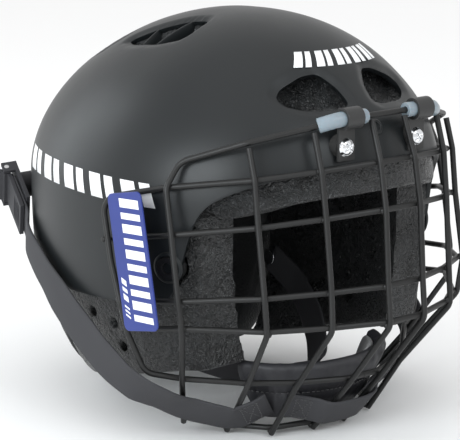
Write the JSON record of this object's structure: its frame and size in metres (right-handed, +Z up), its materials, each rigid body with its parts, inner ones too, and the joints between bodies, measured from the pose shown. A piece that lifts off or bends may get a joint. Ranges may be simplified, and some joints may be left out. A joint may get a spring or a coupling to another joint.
{
  "type": "ice hockey helmet with wire face cage",
  "caption": "Black ice hockey helmet with a foam liner and a hinged wire face cage on forehead clips, side straps to rear buckles and a padded chin cup.",
  "frame": {"origin": "on the surface the helmet stands on, under the middle of its box; it rests on the chin rim of the cage and on the nape pad", "axes": "+Z up, -Y the way the wearer looks, -X the wearer's right"},
  "size_m": [0.2388, 0.2963, 0.2413],
  "materials": {
    "shell_black": "satin black injection-moulded shell",
    "liner_foam": "black vinyl-nitrile foam with a crinkled skin",
    "coated_wire": "gloss black powder coat",
    "sleeve_grey": "grey soft plastic sleeve",
    "clip_metal": "black coated steel strip",
    "screw_chrome": "bright plated",
    "webbing": "black woven webbing",
    "plate_blue": "blue plastic plate",
    "cup_leather": "black leather-grain cover",
    "cup_lining": "black soft lining",
    "spacer_rubber": "black rubber washer",
    "hidden_steel": "plated steel",
    "screw_plastic": "black nylon screw",
    "buckle_plastic": "black moulded plastic"
  },
  "bodies": {
    "helmet": {"brow_pad": "liner_foam", "chin_snap_cap": "buckle_plastic", "crown_pad": "liner_foam", "left_buckle_base": "buckle_plastic", "left_buckle_nut": "hidden_steel", "left_buckle_pin": "hidden_steel", "left_buckle_screw": "hidden_steel", "left_chin_strap": "webbing", "left_clip_nut": "hidden_steel", "left_clip_screw": "screw_chrome", "left_clip_spacer": "spacer_rubber", "left_j_clip": "clip_metal", "left_side_nut": "hidden_steel", "left_side_pad": "liner_foam", "left_side_screw": "screw_plastic", "left_strap_rivet": "screw_chrome", "nape_pad": "liner_foam", "outer_shell": "shell_black", "right_buckle_base": "buckle_plastic", "right_buckle_nut": "hidden_steel", "right_buckle_pin": "hidden_steel", "right_buckle_screw": "hidden_steel", "right_chin_strap": "webbing", "right_clip_nut": "hidden_steel", "right_clip_screw": "screw_chrome", "right_clip_spacer": "spacer_rubber", "right_j_clip": "clip_metal", "right_side_nut": "hidden_steel", "right_side_pad": "liner_foam", "right_side_screw": "screw_plastic", "right_strap_rivet": "screw_chrome"},
    "cage": {"centre_strap": "webbing", "chin_cup": "cup_leather", "chin_cup_liner": "cup_lining", "chin_rim_wire": "coated_wire", "eye_wire": "coated_wire", "left_clip_sleeve": "sleeve_grey", "left_inner_bar": "coated_wire", "left_middle_bar": "coated_wire", "left_outer_bar": "coated_wire", "left_side_strap": "webbing", "mouth_wire": "coated_wire", "nose_wire": "coated_wire", "right_clip_sleeve": "sleeve_grey", "right_inner_bar": "coated_wire", "right_middle_bar": "coated_wire", "right_outer_bar": "coated_wire", "right_side_strap": "webbing", "side_frame_wire": "coated_wire", "side_plate": "plate_blue", "top_frame_wire": "coated_wire"},
    "right_lever": {"right_buckle_lever": "buckle_plastic"},
    "left_lever": {"left_buckle_lever": "buckle_plastic"}
  },
  "joints": [
    {"name": "cage_pivot", "type": "hinge", "parent": "helmet", "child": "cage", "pos_m": [0, -0.1262, 0.1932], "axis": [-1, 0, 0], "range_deg": [0, 110]},
    {"name": "right_lever_hinge", "type": "hinge", "parent": "helmet", "child": "right_lever", "pos_m": [-0.08507, 0.12666, 0.12444], "axis": [0.2633, 0.4569, -0.8497], "range_deg": [0, 70]},
    {"name": "left_lever_hinge", "type": "hinge", "parent": "helmet", "child": "left_lever", "pos_m": [0.08507, 0.12666, 0.12444], "axis": [0.2633, -0.4569, 0.8497], "range_deg": [0, 70]}
  ]
}
